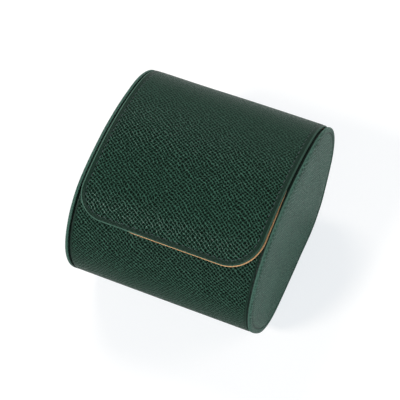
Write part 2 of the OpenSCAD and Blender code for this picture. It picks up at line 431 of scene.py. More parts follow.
# v at the middle of the flatter grain with its painted sheen, and the distances from there at which it begins
# to fade and has ended
PALE_CROWN = (-92.0, 12.0, 46.0)
PALE_FOOT = (76.0, 12.0, 36.0)


def leather_material(name, low, high, pitch, depth, cross=0.74, grain=1.0, mottle=0.0, rough=(0.95, 0.32),
                     gloss=0.15, stretched_with_sheen=False):
    """Green leather with an embossed lattice: strong ridges one way, weaker ones across, lighter with painted
    glints, and pits between, darkened with painted shade. The edge attribute is 1 on a turned edge, lighter
    there with wear and a painted highlight, 0.5 on a pressed strip and below 0 in a fold or groove, painted
    darker as shade. Where it is pulled taut over the crown and at the foot of the front, its grain is
    flatter, and it is paler as a painted sheen."""
    n = Nodes(name)
    uv = n.uv()
    edge = n.attribute("edge")
    ridge = leather_ridges(n, pitch, 34.0, cross)
    fine = n.noise(uv, 3.4, 2.0, 0.6)
    patchy = n.range(n.noise(uv, 0.8, 1.0), 0.3, 0.7, 0.55, 1.0)
    pressed = n.range(edge, 0.05, 0.5, 0.0, 0.72)
    strength = n.math("MULTIPLY", n.invert(pressed), grain)
    if stretched_with_sheen:
        v = n.split(uv)[1]
        flat = n.math("MAXIMUM", n.near(v, *PALE_CROWN), n.near(v, *PALE_FOOT))
        strength = n.math("MULTIPLY", strength, n.math("MULTIPLY_ADD", flat, -0.36, 1.0))
    pit = n.math("MULTIPLY", n.math("MULTIPLY", n.invert(ridge), patchy), strength)

    # the ridges are lighter, partly the grain's own tone and partly painted highlight: painted glints
    # brighten some, and their finest grain and the slow tone of the hide darken them
    painted_glint = n.range(n.noise(uv, 1.15, 1.0), 0.40, 0.60, 0.0, 1.0)
    light = n.mix(painted_glint, scale_color(high, 0.42), scale_color(high, 1.5, 0.012))
    light = n.mix(n.range(fine, 0.36, 0.66, 0.45, 0.0), light, scale_color(high, 0.45))
    light = n.mix(n.range(n.noise(uv, 0.035, 2.0), 0.35, 0.65, 0.0, 0.30), light, scale_color(high, 0.66))
    # the pits are darker: the grain's own tone deepened with painted shade; the ridges then take the lighter
    # colour with its painted glints
    color = n.mix(n.range(pit, 0.30, 0.85, 0.0, 1.0), blend_color(low, high, 0.20), low)
    color = n.mix(n.math("MULTIPLY", n.range(ridge, 0.42, 0.95, 0.0, 1.0), strength), color, light)
    if stretched_with_sheen:
        # painted sheen: the flat zones over the crown and at the foot of the front are mixed towards a paler
        # grey-green
        color = n.mix(n.math("MULTIPLY", flat, 0.45), color, blend_color(low, high, 0.45, 0.012))
    if mottle:
        drawn = n.vec("MULTIPLY", uv, (1.0, 0.55, 1.0))
        cloud = n.range(n.noise(drawn, 0.085, 2.0), 0.36, 0.64, 0.0, mottle)
        color = n.mix(cloud, color, blend_color(low, high, 0.55, 0.004))

    # pressed strips; edges lighter with wear and a painted highlight; painted shade darkening folds and
    # grooves
    color = n.mix(pressed, color, blend_color(low, high, 0.18))
    # turned edges are lighter, with wear and a painted highlight
    worn_and_highlight = n.math("MULTIPLY", n.range(edge, 0.62, 0.95, 0.0, 1.0), n.range(fine, 0.3, 0.7, 0.45, 0.95))
    color = n.mix(worn_and_highlight, color, scale_color(high, 1.5, 0.04))
    # painted shade: where the edge attribute is below 0, in folds, the seam's groove and under the cap's rim,
    # the colour darkens
    color = n.mix(n.range(edge, -1.0, 0.0, 0.85, 0.0), color, scale_color(low, 0.4))
    n.bump(n.math("SUBTRACT", n.math("MULTIPLY", fine, 0.16), pit), depth)
    dull = n.range(pit, 0.05, 0.5, rough[1], rough[0])
    dull = n.math("MULTIPLY_ADD", n.range(edge, 0.05, 0.5, 0.0, 1.0), 0.20, dull)
    return n.finish(color, Roughness=n.math("MINIMUM", dull, 0.95), Specular_IOR_Level=gloss)


def suede_material(name, base=(0.42, 0.23, 0.115), dark=0.86, depth=0.00008, cut=None):
    """Tan suede. cut is the colour of its cut edge, where the edge attribute is 1: the raw edge's own lighter
    tone, made lighter still as a painted highlight.
    """
    n = Nodes(name)
    place = n.coords()
    nap = n.noise(place, 0.16, 3.0, 0.55)
    fibre = n.noise(n.vec("MULTIPLY", place, (1.0, 0.45, 0.7)), 6.5, 3.0, 0.7)
    spot = n.noise(place, 0.9, 2.0, 0.6)
    color = n.mix(n.range(nap, 0.35, 0.65, 0.0, 1.0), scale_color(base, dark), base)
    color = n.mix(n.range(fibre, 0.35, 0.7, 0.0, 0.38), color, scale_color(base, 1.35))
    color = n.mix(n.range(spot, 0.45, 0.75, 0.0, 0.22), color, scale_color(base, 0.6))
    if cut:
        raw = n.mix(n.range(fibre, 0.35, 0.65, 0.0, 1.0), scale_color(cut, 0.82), cut)
        color = n.mix(n.attribute("edge"), color, raw)
    n.bump(n.math("ADD", fibre, n.math("MULTIPLY", spot, 0.6)), depth)
    return n.finish(color, Roughness=0.92, Sheen_Weight=0.35, Sheen_Roughness=0.5, Specular_IOR_Level=0.25)


def thread_material(name, dark, light):
    """Twisted thread: u runs along it, in millimetres, and v once round it."""
    n = Nodes(name)
    uv = n.uv()
    along, around = n.split(uv)[:2]
    turns = n.math("ADD", n.math("MULTIPLY", along, 11.0), n.math("MULTIPLY", around, 2 * math.pi))
    twist = n.math("MULTIPLY_ADD", n.math("SINE", turns), 0.5, 0.5)
    n.bump(twist, 0.00006)
    # the crest of each twist takes the lighter colour, a painted highlight on the thread's plies
    return n.finish(n.mix(twist, dark, light), Roughness=n.range(n.noise(uv, 2.0, 1.0), 0.3, 0.7, 0.42, 0.6))


def plain_material(name, a, b, scale, rough=0.8, depth=0.00005, metallic=0.0):
    """Board, foam or plated metal: two tones of a fine noise with a matching bump."""
    n = Nodes(name)
    place = n.coords()
    fine = n.noise(place, scale, 4.0, 0.65)
    slow = n.noise(place, scale * 0.12, 2.0)
    color = n.mix(n.math("MULTIPLY", n.math("ADD", fine, slow), 0.5), a, b)
    n.bump(fine, depth)
    return n.finish(color, Roughness=n.range(fine, 0.3, 0.7, rough - 0.08, rough + 0.08), Metallic=metallic)


LEATHER_MAT = leather_material("leather_grain", (0.0002, 0.0030, 0.0012), (0.0240, 0.0830, 0.0540),
                               pitch=1.42, depth=0.00015, rough=(0.95, 0.20), gloss=0.08, stretched_with_sheen=True)
# the end caps are the same green leather in a lighter copy of its colours, partly painted light for their
# brighter side-lit faces
CAP_MAT = leather_material("leather_cap", (0.0036, 0.0250, 0.0160), (0.0400, 0.1300, 0.0920),
                           pitch=1.62, depth=0.00016, cross=0.88, mottle=0.55, rough=(0.66, 0.44), gloss=0.32)
SMOOTH_MAT = leather_material("leather_trim", (0.0012, 0.0085, 0.0050), (0.0070, 0.0300, 0.0200),
                              pitch=0.95, depth=0.00004, grain=0.5)
SUEDE_MAT = suede_material("suede_lining")
# the cut edge of the flap's lining is lighter: its own raw tone and a painted highlight
EDGE_MAT = suede_material("suede_edge", (0.45, 0.25, 0.125), depth=0.00005, cut=(0.66, 0.37, 0.175))
CUSHION_MAT = suede_material("suede_cushion", (0.45, 0.26, 0.135), dark=0.88)
THREAD_MAT = thread_material("thread_green", (0.002, 0.012, 0.010), (0.012, 0.038, 0.036))
TAN_THREAD_MAT = thread_material("thread_tan", (0.20, 0.10, 0.045), (0.48, 0.28, 0.14))
BOARD_MAT = plain_material("grey_board", (0.20, 0.16, 0.115), (0.34, 0.29, 0.22), 3.2, 0.85)
FOAM_MAT = plain_material("foam", (0.62, 0.58, 0.46), (0.80, 0.77, 0.66), 2.1, 0.92, 0.0002)
MAGNET_MAT = plain_material("nickel", (0.42, 0.41, 0.38), (0.60, 0.59, 0.56), 1.4, 0.3, 0.00001, 1.0)


def dress(obj, material, body, slot, *nodes):
    """Gives a piece its material and the body it rides on, and hides the nodes it stands for. slot is not
    used.
    """
    obj.data.materials.clear()
    obj.data.materials.append(material)
    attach(obj, body)
    if nodes:
        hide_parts(*nodes)


# ------------ front, base and back

BASE_YS = np.linspace(BASE_HALF, -BASE_HALF, 22)[1:-1]
BASE_ROWS = [(float(y), 0.0, 0.0, -1.0, float(BASE_HALF - y)) for y in BASE_YS]
LIP_OFFSETS = [0, 0.05, 0.13, 0.26, 0.42, 0.62, 0.9, 1.3, 2.0, 3.0]
LIP_ROOM = 5.0  # degrees of the front wall given to the rows close to its lip


def wall_rows():
    """The wall's u and rows from the hinge down the back, over the base and up the front to the lip."""
    back_us = np.append(np.arange(HINGE_LOW, 0.01, -1.6), 0.0)
    lip_us = [LIP_U + math.degrees(o / RADII[2]) for o in reversed(LIP_OFFSETS)]
    front_us = np.append(np.arange(360.0, LIP_U + LIP_ROOM, -1.6), lip_us)
    us = np.concatenate([back_us, np.full(len(BASE_ROWS), 0.0), front_us])
    foot = 2 * BASE_HALF + float(arc(360.0))
    front = [(y, z, ny, nz, foot + v) for y, z, ny, nz, v in stations_on(front_us)]
    return us, stations_on(back_us) + BASE_ROWS + front


def wall_cover():
    us, rows = wall_rows()
    steps = wall_step(us)
    lip_v = rows[-1][4]

    def top(x, i, v):
        dist = min(WRAP_HALF - abs(x), abs(lip_v - v))
        off_base = ease((rows[i][1] - 1.0) / 8.0)
        uneven = off_base * (0.05 + soft(x, v, 22.0, 0.09, 3.0))
        # the rounded sides and lip take the lighter edge colour: wear and a painted highlight
        return steps[i] + edge_round(dist, 0.8) + uneven, max(0.0, 1 - dist / 1.1)

    def bottom(x, i, v):
        return steps[i] + WALL_T, 0.0

    return slab("wall_cover", rows, [(WRAP_HALF,) * 2] * len(rows), OFFSETS, top, bottom)


LINING_HALF = 42.5


def wall_lining():
    """Suede glued to the inside of the wall board."""
    back_us = np.append(np.arange(HINGE_LOW, 0.01, -2.4), 0.0)
    front_us = np.append(np.arange(360.0, LIP_U + 2.4, -2.4), LIP_U + 1.4)
    rows = stations_on(back_us) + BASE_ROWS + stations_on(front_us)
    steps = np.concatenate([wall_step(back_us), np.zeros(len(BASE_ROWS)), wall_step(front_us)])

    def top(x, i, v):
        return steps[i] + WALL_T, 0.0

    def bottom(x, i, v):
        uneven = soft(x, v, 14.0, 0.06, 9.0)
        return steps[i] + (WALL_T + LINING) - edge_round(LINING_HALF - abs(x), 0.3) + uneven, 0.0

    offsets = [0, 0.08, 0.2, 0.4, 0.8, 2.0]
    return slab("wall_lining", rows, [(LINING_HALF,) * 2] * len(rows), offsets, top, bottom)


dress(wall_cover(), LEATHER_MAT, "case", "leather", "shell_leather")
dress(wall_lining(), SUEDE_MAT, "case", "suede", "shell_lining")

# ------------ flap

CORNERS = {-1: 13.4, 1: 16.8}  # radius of the front corner on the left and on the right
STITCH_IN = 2.6  # distance of the seam from the flap's edge
S_LOW = float(arc(HINGE_HIGH))
S_FRONT = float(arc(EDGE_U))


def plan_edge(x, s):
    """Distance from the flap's edge, and the way out to it, at x across and s along."""
    side = 1 if x > 0 else -1
    corner = CORNERS[side]
    across, along = abs(x) - (FLAP_HALF - corner), s - (S_FRONT - corner)
    if across > 0 and along > 0:
        r = math.hypot(across, along)
        return corner - r, (side * across / r, along / r)
    if FLAP_HALF - abs(x) < S_FRONT - s:
        return FLAP_HALF - abs(x), (side, 0.0)
    return S_FRONT - s, (0.0, 1.0)


def edge_distance(x, s):
    return plan_edge(x, s)[0]


def plan_half(s, corner):
    """The flap's reach to one side at s along."""
    past = s - (S_FRONT - corner)
    if past <= 0:
        return FLAP_HALF
    return FLAP_HALF - corner + math.sqrt(max(corner ** 2 - past ** 2, 0))


def plan_rows(fine):
    """Rows along the flap, closer at its corners and at fine distances from its edge, and their halves."""
    big = max(CORNERS.values())
    rows = list(np.arange(S_LOW, S_FRONT - big, 1.5)) + [S_FRONT - big]
    for corner in CORNERS.values():
        rows += [S_FRONT - corner + corner * math.sin(math.radians(a)) for a in range(3, 90, 4)]
    rows += [S_FRONT - o for o in fine]
    rows = sorted(set(round(r, 4) for r in rows))
    keep = [rows[0]]
    for r in rows[1:]:
        if r - keep[-1] > 0.04 or r == rows[-1]:
            keep.append(r)
    return np.array(keep), [(plan_half(r, CORNERS[-1]), plan_half(r, CORNERS[1])) for r in keep]


def flap_lift(s):
    """Depth of the flap's outer face, which rises over the front wall and a little more at its free edge."""
    return -float(lift(u_at(s))) - 0.15 * float(ease((s - (S_FRONT - 9.0)) / 9.0))


def edge_value(dist, rim):
    """rim on the turned edge, lighter with wear and a painted highlight; 0.5 on the pressed strip inside it;
    below 0 along the seam, painted shade in its groove; 0 beyond the seam.
    """
    sewn = bell(dist, STITCH_IN, 0.26)
    # painted shade in the groove of the seam
    if sewn > 0.2:
        return -0.55 * sewn
    if dist < 0.9:
        return rim - (rim - 0.5) * max(dist - 0.45, 0.0) / 0.45
    return 0.5 * (1 - float(ease((dist - 2.2) / 0.7)))


def flap_cover():
    rows, halves = plan_rows(OFFSETS[:-3])

    def top(x, i, v):
        s = rows[i]
        dist = edge_distance(x, s)
        past_hinge = ease((s - S_LOW) / 6.0)
        seam = 0.20 * bell(dist, STITCH_IN, 0.36)
        roll = 0.13 * bell(dist, 1.25, 0.3) * (1.0 if x < 0 else 0.45)
        rim = 0.06 * ease((STITCH_IN - dist) / 1.2)
        uneven = 0.04 + soft(x, v, 24.0, 0.10, 5.0)
        d = edge_round(dist, 0.7) + past_hinge * (seam + rim + roll + uneven) + flap_lift(s)
        # the turned edge is lighter on the left than on the right, a painted highlight where it faces the
        # light
        return d, edge_value(dist, 1.0 if x < -10.0 else 0.8)

    def bottom(x, i, v):
        s = rows[i]
        return FLAP_T - edge_round(edge_distance(x, s), 0.3) + flap_lift(s), 0.9

    return slab("flap_cover", stations_on(u_at(rows)), halves, OFFSETS, top, bottom)


def lining_proud(x, s):
    """How far the lining stands past the leather: it shows in front and on the right, and not on the left."""
    shows = ease((x + 24.0) / 10.0 if x < 0 else (u_at(s) - 177.0) / 16.0)
    return -0.30 + 0.88 * float(shows)


def cut_edge(dist):
    """1 on the cut edge of the lining, 0 inside it."""
    return 1 - float(ease((dist - 0.8) / 0.4))


def flap_lining():
    rows, halves = plan_rows([0, 0.06, 0.15, 0.3, 0.6, 1.0, 2.0, 3.0])
    moved_within = 1.6

    def warp(x, i, d):
        s = float(rows[i])
        dist, (across, along) = plan_edge(x, s)
        if dist > moved_within:
            return None
        move = lining_proud(x, s) * (1 - max(dist, 0.0) / moved_within)
        y, z = at(np.array([float(u_at(s + along * move))]), d)
        return (x + across * move, float(y[0]), float(z[0]))

    def top(x, i, v):
        s = rows[i]
        dist = edge_distance(x, s)
        return FLAP_T + edge_round(dist, 0.12) + flap_lift(s), cut_edge(dist)

    def bottom(x, i, v):
        s = rows[i]
        dist = edge_distance(x, s)
        seam = 0.10 * bell(dist, STITCH_IN, 0.5) * ease((s - S_LOW) / 6.0)
        return FLAP_T + LINING - edge_round(dist, 0.2) - seam + flap_lift(s), cut_edge(dist - 0.6)

    offsets = [0, 0.06, 0.15, 0.3, 0.6, 1.0, 1.6, 2.3, 2.7, 3.0, 3.4, 4.5]
    return slab("flap_lining_sheet", stations_on(u_at(rows)), halves, offsets, top, bottom, warp)


dress(flap_cover(), LEATHER_MAT, "flap", "leather", "flap_leather")
dress(flap_lining(), EDGE_MAT, "flap", "suede", "flap_lining")

# ------------ stitching round the flap

STITCH_PITCH = 3.05
STITCH_LENGTH = 2.3
THREAD_FLAT = 0.82  # height of the thread as a share of its width
SEAM_END = 2.5  # how far from the hinge the seam stops
SEAM_STEP = 0.1


def flap_point(x, s, d):
    y, z = at(np.array([float(u_at(s))]), d + flap_lift(s))
    return Vector((x, float(y[0]), float(z[0])))


def seam_path(inset):
    """Points (x, s) along the seam: up the left side, round the front and down the right."""
    reach, front = FLAP_HALF - inset, S_FRONT - inset
    left, right = CORNERS[-1] - inset, CORNERS[1] - inset
    turn = np.linspace(0, math.pi / 2, 200)
    pts = [(-reach, s) for s in np.arange(S_LOW + SEAM_END, front - left, SEAM_STEP)]
    pts += [(-(reach - left) - left * math.cos(t), front - left + left * math.sin(t)) for t in turn]
    pts += [(x, front) for x in np.arange(-(reach - left), reach - right, SEAM_STEP)]
    pts += [(reach - right + right * math.sin(t), front - right + right * math.cos(t)) for t in turn]
    pts += [(reach, s) for s in np.arange(front - right, S_LOW + SEAM_END, -SEAM_STEP)]
    return np.array(pts)


def stitches(name, radius, depth, inside=False):
    """Separate bent threads along the seam, their middles depth below the leather or, inside, the lining."""
    path = seam_path(STITCH_IN)
    run = np.concatenate([[0], np.cumsum(np.hypot(np.diff(path[:, 0]), np.diff(path[:, 1])))])

    def point(r, d=0):
        return flap_point(float(np.interp(r, run, path[:, 0])), float(np.interp(r, run, path[:, 1])), d)

    count = int(run[-1] // STITCH_PITCH)
    pitch = run[-1] / count
    ring, steps, ahead = 8, 9, 0.3
    verts, faces, uvs = [], [], []
    for k in range(count):
        middle = (k + 0.5) * pitch + random.uniform(-0.08, 0.08)
        size = STITCH_LENGTH * random.uniform(0.94, 1.04)
        slant = random.uniform(0.10, 0.20)
        base = len(verts)
        for i in range(steps):
            t = -1 + 2 * i / (steps - 1)
            r = middle + t * size / 2
            p = point(r)
            along = point(r + ahead) - p
            if along.length < 1e-6:
                along = p - point(r - ahead)
            along.normalize()
            up = (p - point(r, 1)).normalized()
            across = along.cross(up).normalized()
            dip = 0.48 * t ** 4
            sunk = FLAP_T + LINING - depth - dip if inside else depth + dip - 0.02
            centre = p - up * sunk + across * slant * t
            thick = radius * (1 - 0.35 * abs(t) ** 3)
            for j in range(ring):
                a = 2 * math.pi * j / ring
                out = across * math.cos(a) + up * (THREAD_FLAT * math.sin(a))
                verts.append(tuple(centre + thick * out))
                uvs.append((r, j / ring))
        faces += tube_faces(ring, steps, base)
    return fix_normals(mesh_object(name, verts, faces, uvs, angle=80))


dress(stitches("flap_stitches", 0.21, 0.22), THREAD_MAT, "flap", "leather")
dress(stitches("flap_stitches_inside", 0.20, 0.10, True), TAN_THREAD_MAT, "flap", "suede")

# ------------ leather hinge

HINGE_ROWS = 21
HINGE_US = np.linspace(HINGE_LOW, HINGE_HIGH, HINGE_ROWS)
HINGE_LINING_HALF = 42.4
HINGE_DIP = 0.22  # how far the bare leather sinks at the middle of the strip
HINGE_LINING_DEPTH = 1.35  # how deep the lining lies there


def hinge_share(i):
    """0 where the strip leaves the wall, 1 where it joins the flap."""
    return i / (HINGE_ROWS - 1)


def hinge_half(i):
    return WRAP_HALF + (FLAP_HALF - WRAP_HALF) * hinge_share(i)


def hinge_depth(i):
    t = hinge_share(i)
    return (BACK_STEP + 0.05) * (1 - t) + 0.04 * t + HINGE_DIP * math.sin(math.pi * t) ** 2


def hinge_strip():
    def top(x, i, v):
        dist = hinge_half(i) - abs(x)
        return hinge_depth(i) + edge_round(dist, 0.3), max(0.0, 1 - dist)

    def bottom(x, i, v):
        return hinge_depth(i) + LEATHER, 0.0

    halves = [(hinge_half(i),) * 2 for i in range(HINGE_ROWS)]
    return slab("hinge_strip", stations_on(HINGE_US), halves, OFFSETS[:8], top, bottom)


def hinge_lining():
    def middle(i):
        t = hinge_share(i)
        ends = (BACK_STEP + WALL_T + LINING / 2) * (1 - t) + (FLAP_T + LINING / 2) * t
        return ends - (ends - HINGE_LINING_DEPTH) * math.sin(math.pi * t)

    def top(x, i, v):
        return middle(i) - LINING / 2, 0.0

    def bottom(x, i, v):
        return middle(i) + LINING / 2, 0.0

    halves = [(HINGE_LINING_HALF,) * 2] * HINGE_ROWS
    return slab("hinge_lining_strip", stations_on(HINGE_US), halves, [0, 0.1, 0.3, 1.0], top, bottom)


HINGE_ENDS = zip(*at(np.array([HINGE_LOW, HINGE_HIGH]), 0.0))
HINGE_A, HINGE_B = [(0.0, float(y) * MM, float(z) * MM) for y, z in HINGE_ENDS]


def dress_hinge(obj, material, node):
    obj.data.materials.append(material)
    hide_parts(node)
    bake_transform(obj)


dress_hinge(hinge_strip(), LEATHER_MAT, "hinge_leather")
dress_hinge(hinge_lining(), SUEDE_MAT, "hinge_lining")

# ------------ end caps

LOOP = np.concatenate([np.arange(0, 180, 1.5), [180.0], np.arange(181.5, 360, 1.5), [360.0]])
BASE_POINTS = 16
FACE_MIDDLE = (0.0, 41.0)
FACE_STEPS = 7


def loop_points(d):
    """Outline ring d inside, with the flat base divided. d may be one number or one per LOOP point."""
    y, z = at(LOOP, d)
    base_z = d if np.isscalar(d) else float(d[-1])
    base_y = np.linspace(-BASE_HALF, BASE_HALF, BASE_POINTS + 2)[1:-1]
    return np.concatenate([y, base_y]), np.concatenate([z, np.full(BASE_POINTS, base_z)])


def ring_solid(name, rings, sign, dome=0.0, angle=50):
    """A closed solid of rings round the outline. A ring is (inset, x, inset of its uv, edge value), and an
    inset is one number or one per LOOP point. The first ring bounds the face, which rises by dome to its
    middle, and the last one bounds the back."""
    middle_y, middle_z = FACE_MIDDLE
    inset, x, _, e = rings[0]
    first = list(zip(*loop_points(inset)))
    count = len(first)
    verts, uvs, edge, faces = [], [], [], []
    for k in range(1, FACE_STEPS + 1):
        f = k / FACE_STEPS
        for y, z in first:
            y, z = middle_y + (y - middle_y) * f, middle_z + (z - middle_z) * f
            verts.append((sign * (x + dome * (1 - f * f)), y, z))
            uvs.append((y, z))
            edge.append(e)
    for inset, ring_x, uv_inset, ring_edge in rings[1:]:
        verts += [(sign * ring_x, y, z) for y, z in zip(*loop_points(inset))]
        uvs += list(zip(*loop_points(uv_inset)))
        edge += [ring_edge] * count
    last = len(verts) - count
    face_middle, back_middle = len(verts), len(verts) + 1
    verts += [(sign * (x + dome), middle_y, middle_z), (sign * rings[-1][1], middle_y, middle_z)]
    uvs += [FACE_MIDDLE, FACE_MIDDLE]
    edge += [e, 0.0]
    for i in range(count):
        j = (i + 1) % count
        faces.append((face_middle, i, j))
        faces.append((back_middle, last + j, last + i))
    for start in range(0, last, count):
        faces += band(start, start + count, count)
    return fix_normals(mesh_object(name, verts, faces, uvs, edge, angle))


CREASE = 2.7
CREASE_WIDTH = 0.30
CREASE_DEPTH = 0.30
RIM_TOP = 1.8
RIM_R = 1.0
RIM_DROP = 0.30
PAD_INSET = 14.0
PAD_TOP = 2.15
PAD_DROP = 0.65
# distances from the rim of the rings of the face, and (inset, height) down the side of the rim and under it
FACE_INSETS = (14, 12.5, 11, 9.5, 8, 6.8, 5.8, 5, 4.4, 3.9, 3.5, 3.2, 3.0, 2.85, 2.7, 2.55, 2.4, 2.2,
               1.95, 1.7, 1.4, 1.15)
CAP_SIDE = [(0.0, 0.75), (0.0, 0.5), (0.04, 0.28), (0.13, 0.12), (0.28, 0.03), (0.5, 0.0), (1.2, 0.0),
            (3.0, 0.0)]


def face_height(inset):
    """Height of the end cap's face above its back, by distance from the rim."""
    if inset >= CREASE:
        t = (PAD_INSET - inset) / (PAD_INSET - CREASE)
        height = PAD_TOP - PAD_DROP * max(t, 0.0) ** 2.4
    else:
        t = (inset - RIM_R * 0.8) / (CREASE - RIM_R * 0.8)
        height = RIM_TOP - RIM_DROP * float(ease(t)) ** 1.5
    return height - CREASE_DEPTH * bell(inset, CREASE, CREASE_WIDTH)


def cap_edge(inset, height):
    """Edge value of the cap: painted shade in its crease and under its rim, and lighter on the side of the
    rim, with wear and a painted highlight.
    """
    fold = bell(inset, CREASE, CREASE_WIDTH)
    # below 0: painted shade in the crease and under the rim; 0.72: wear and a painted highlight on the side
    # of the rim
    if height > 1.0 and fold > 0.05:
        return -0.9 * fold
    if inset < 0.1 and 0.2 < height < 0.9:
        return 0.72
    return -0.6 if height < 0.1 else 0.0


def cap_rings():
    profile = [(float(inset), face_height(inset)) for inset in FACE_INSETS]
    for a in range(84, -1, -12):
        inward, down = (RIM_R * (1 - f(math.radians(a))) for f in (math.cos, math.sin))
        profile.append((inward, RIM_TOP - down))
    profile += CAP_SIDE
    rings, travel, before = [], PAD_INSET, profile[0]
    for inset, height in profile:
        travel -= math.hypot(inset - before[0], height - before[1])
        rings.append((inset, CAP_X + height, travel, cap_edge(inset, height)))
        before = (inset, height)
    return rings


def roughen_cap(obj, sign):
    """Slight unevenness of the padded face and of the rim."""
    for v in obj.data.vertices:
        x, y, z = (c / MM for c in v.co)
        out = abs(x) - CAP_X
        if out > 1.1:
            uneven = soft(y, z, 26.0, 0.24, 11.0 + sign) + soft(y, z, 9.0, 0.07, 2.0 + sign)
            v.co.x += sign * MM * ease((out - 1.1) / 0.5) * uneven
    obj.data.update()


SIDES = (("left", -1.0), ("right", 1.0))

for label, sign in SIDES:
    cap = ring_solid("end_cap_" + label, cap_rings(), sign, dome=0.22)
    roughen_cap(cap, sign)
    dress(cap, CAP_MAT, "case", "leather", label + "_end_cover")

# ------------ end walls and their linings

END_T = 2.5
SEAT = 0.02  # clearance between an end wall and the pieces on it
END_INNER = WRAP_HALF - END_T
END_OUTER = CAP_X - SEAT
END_ROUND = 0.75
GROOVE = 1.0  # depth of the groove between the wall and the end cap

# depths of the end wall's top and of the floor of that groove, one per LOOP point
flap_there = (LOOP > HINGE_LOW) & (LOOP < LIP_U)
under_flap = FLAP_ROOM - lift(LOOP) + SEAT
top_d = np.where(flap_there, under_flap, wall_step(LOOP) + WALL_T + SEAT)
floor_d = np.where(flap_there, under_flap, wall_step(LOOP) + GROOVE)


def end_wall(label, sign):
    rings = [(18.0, END_OUTER, 18.0, 0.0), (6.0, END_OUTER, 6.0, 0.0), (floor_d, END_OUTER, floor_d, 0.4),
             (floor_d, WRAP_HALF + SEAT, floor_d - 0.6, 0.2), (top_d, WRAP_HALF, top_d - 0.7, 0.2),
             (top_d, END_INNER + 0.9, top_d - 2.4, 0.35)]
    for a in (30, 60, 90):
        inward = END_ROUND * (1 - math.cos(math.radians(a)))
        x = END_INNER + END_ROUND * (1 - math.sin(math.radians(a)))
        rings.append((top_d + inward, x, top_d - 2.9 - a / 80.0, 0.8))
    rings += [(6.0, END_INNER, -1.0, 0.0), (18.0, END_INNER, 8.0, 0.0)]
    return ring_solid("end_wall_" + label, rings, sign, angle=55)


def end_lining(label, sign):
    rim = np.where(flap_there, top_d + 1.3, top_d + LINING + 0.05)
    profile = [(14.0, 0.85), (9.0, 0.75), (rim + 1.6, 0.62), (rim + 0.7, 0.5), (rim + 0.25, 0.34),
               (rim, 0.12), (rim, 0.0), (9.0, 0.0)]
    rings = [(inset, END_INNER - proud, inset, 0.0) for inset, proud in profile]
    return ring_solid("end_lining_" + label, rings, sign, angle=60)


for label, sign in SIDES:
    dress(end_wall(label, sign), SMOOTH_MAT, "case", "leather", label + "_end_board")
    dress(end_lining(label, sign), SUEDE_MAT, "case", "suede", label + "_end_lining")

# ------------ cushion

CUSHION_LONG = 74.0
CUSHION_DEEP = 64.0
CUSHION_HIGH = 48.0
CUSHION_GAP = 0.3
CUSHION_Z = WALL_T + LINING + CUSHION_GAP + CUSHION_HIGH / 2
OVAL_ROOM = 1.2  # for the leather oval at each end
TUBE_HALF = CUSHION_LONG / 2 - OVAL_ROOM
CLOTH_LIMIT = 1.4  # the furthest that the air moves a point
CLOTH_FRAMES = 20
CLOTH = {"quality": 5, "mass": 0.3, "tension_stiffness": 12, "compression_stiffness": 12,
         "bending_stiffness": 0.4, "use_pressure": True, "uniform_pressure_force": 4,
         "vertex_group_mass": "sewn"}


def swell(obj, pinned):
    """Fills the closed mesh with air as cloth, held where pinned(point) is true."""
    scene = bpy.context.scene
    rest = [v.co.copy() for v in obj.data.vertices]
    group = obj.vertex_groups.new(name="sewn")
    group.add([v.index for v in obj.data.vertices if pinned(v.co / MM)], 1.0, "REPLACE")
    cloth = obj.modifiers.new("cloth", "CLOTH")
    for setting, value in CLOTH.items():
        setattr(cloth.settings, setting, value)
    cloth.settings.effector_weights.gravity = 0
    for frame_number in range(1, CLOTH_FRAMES + 1):
        scene.frame_set(frame_number)
    shaped = obj.evaluated_get(bpy.context.evaluated_depsgraph_get())
    moved = [v.co.copy() for v in shaped.data.vertices]
    obj.modifiers.remove(cloth)
    obj.vertex_groups.remove(group)
    scene.frame_set(1)
    for v, start, end in zip(obj.data.vertices, rest, moved):
        step = end - start
        if step.length > CLOTH_LIMIT * MM:
            step = step.normalized() * CLOTH_LIMIT * MM
        v.co = start + step
    obj.data.update()


def subdivide_once(obj):
    modifier = obj.modifiers.new("smooth", "SUBSURF")
    modifier.levels = modifier.render_levels = 1
    shaped = obj.evaluated_get(bpy.context.evaluated_depsgraph_get())
    mesh = bpy.data.meshes.new_from_object(shaped)
    obj.modifiers.remove(modifier)
    old = obj.data
    obj.data = mesh
    bpy.data.meshes.remove(old)


def oval_reach(y, z, inset):
    """1 on the cushion's oval shrunk by inset, less inside it and more outside."""
    return math.hypot(y / (CUSHION_DEEP / 2 - inset), (z - CUSHION_Z) / (CUSHION_HIGH / 2 - inset))


def cushion_point(p):
    """Moves a point of the swollen tube to its gathers, its seam and the slow folds of the suede."""
    x, y, z = p
    t = abs(x) / TUBE_HALF
    a = math.atan2((z - CUSHION_Z) / CUSHION_HIGH, y / CUSHION_DEEP)
    gather = t ** 5 * 0.34 * math.sin(a * 27 + 1.3 * math.sin(3 * a)) + t ** 3 * 0.20 * math.sin(a * 11 + 2.0)
    pull = 0.45 * bell(t, 0.93, 0.025)
    folds = Vector((x / TUBE_HALF * 1.7, math.cos(a) * 1.5, math.sin(a) * 1.5))
    sag = 0.45 * noise.noise(folds) * (1 - t ** 4)
    seam = 0.5 * bell(a, -math.pi / 2, 0.022)
    place = p + Vector((0.0, math.cos(a), math.sin(a))) * (sag - gather - pull - seam)
    # it stays outside the foam and inside the size of the case's cushion
    inner = oval_reach(place.y, place.z, 0.62 + 3.0 * t ** 3)
    outer = oval_reach(place.y, place.z, 0.05 + 2.2 * t ** 3)
    reach = inner if inner < 1 else max(outer, 1.0)
    return Vector((x, place.y / reach, CUSHION_Z + (place.z - CUSHION_Z) / reach))


